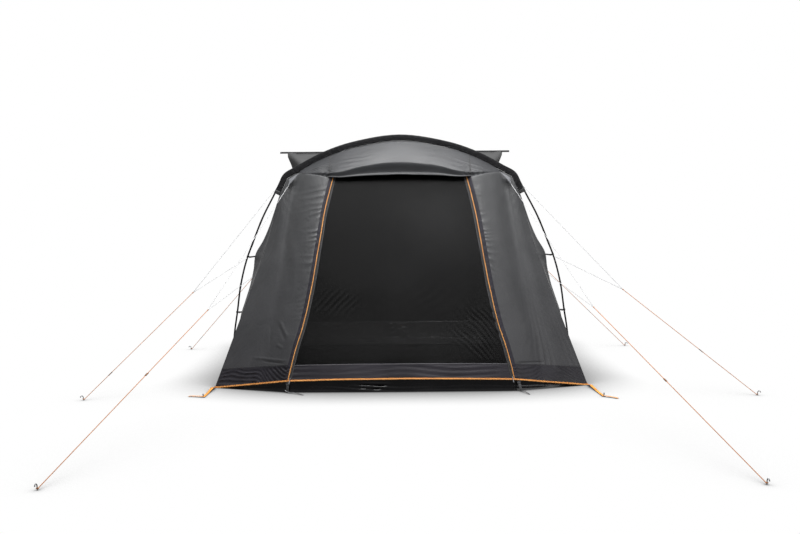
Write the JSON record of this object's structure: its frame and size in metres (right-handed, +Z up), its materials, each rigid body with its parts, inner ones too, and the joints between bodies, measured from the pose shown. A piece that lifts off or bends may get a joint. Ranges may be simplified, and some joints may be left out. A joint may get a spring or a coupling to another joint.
{
  "type": "drive-away awning",
  "caption": "Arched pole awning with a sloping mesh-door front, groundsheet, guy lines and pegs, and a rear tunnel that reaches to a vehicle's side.",
  "frame": {"origin": "on the ground, under the middle of the whole outline with its pegs", "axes": "+X to the right as one faces the door, +Y back towards the vehicle, +Z up"},
  "size_m": [5.2464, 6.6034, 2.17],
  "materials": {
    "roof_cloth": "semi-matte coated polyester",
    "mesh": "matte fine mesh",
    "mud_wall": "semi-matte coated polyester",
    "groundsheet": "glossy woven polyethylene",
    "sleeve": "matte",
    "pole": "glossy glass fibre",
    "plastic": "moulded",
    "piping": "matte",
    "guy_line": "matte braid",
    "webbing": "matte",
    "steel": "bright zinc",
    "strip": "matte",
    "tab": "matte"
  },
  "bodies": {
    "root": {"door_mesh": "mesh", "door_mud_wall": "mud_wall", "door_peg_left": "plastic", "door_peg_right": "plastic", "door_piping_left": "piping", "door_piping_right": "piping", "front_anchor_left": "webbing", "front_anchor_right": "webbing", "front_clip_lower_left": "plastic", "front_clip_lower_right": "plastic", "front_clip_upper_left": "plastic", "front_clip_upper_right": "plastic", "front_fascia": "roof_cloth", "front_guy_left": "guy_line", "front_guy_peg_left": "steel", "front_guy_peg_right": "steel", "front_guy_right": "guy_line", "front_panel_left": "roof_cloth", "front_panel_right": "roof_cloth", "front_pole": "pole", "front_pole_sleeve": "sleeve", "front_wing_left": "roof_cloth", "front_wing_right": "roof_cloth", "groundsheet": "groundsheet", "hem_piping": "piping", "rear_anchor_left": "webbing", "rear_anchor_right": "webbing", "rear_clip_lower_left": "plastic", "rear_clip_lower_right": "plastic", "rear_clip_upper_left": "plastic", "rear_clip_upper_right": "plastic", "rear_door": "roof_cloth", "rear_guy_left": "guy_line", "rear_guy_peg_left": "steel", "rear_guy_peg_right": "steel", "rear_guy_right": "guy_line", "rear_pole": "pole", "rear_pole_sleeve": "sleeve", "rear_wall_left": "roof_cloth", "rear_wall_right": "roof_cloth", "roof_panel": "roof_cloth", "side_guy_left": "guy_line", "side_guy_peg_left": "steel", "side_guy_peg_right": "steel", "side_guy_right": "guy_line", "side_wall_left": "roof_cloth", "side_wall_right": "roof_cloth", "storm_tab_left": "tab", "storm_tab_right": "tab", "tunnel_roof": "roof_cloth", "tunnel_wall_left": "roof_cloth", "tunnel_wall_right": "roof_cloth", "vehicle_strip": "strip"}
  },
  "joints": []
}
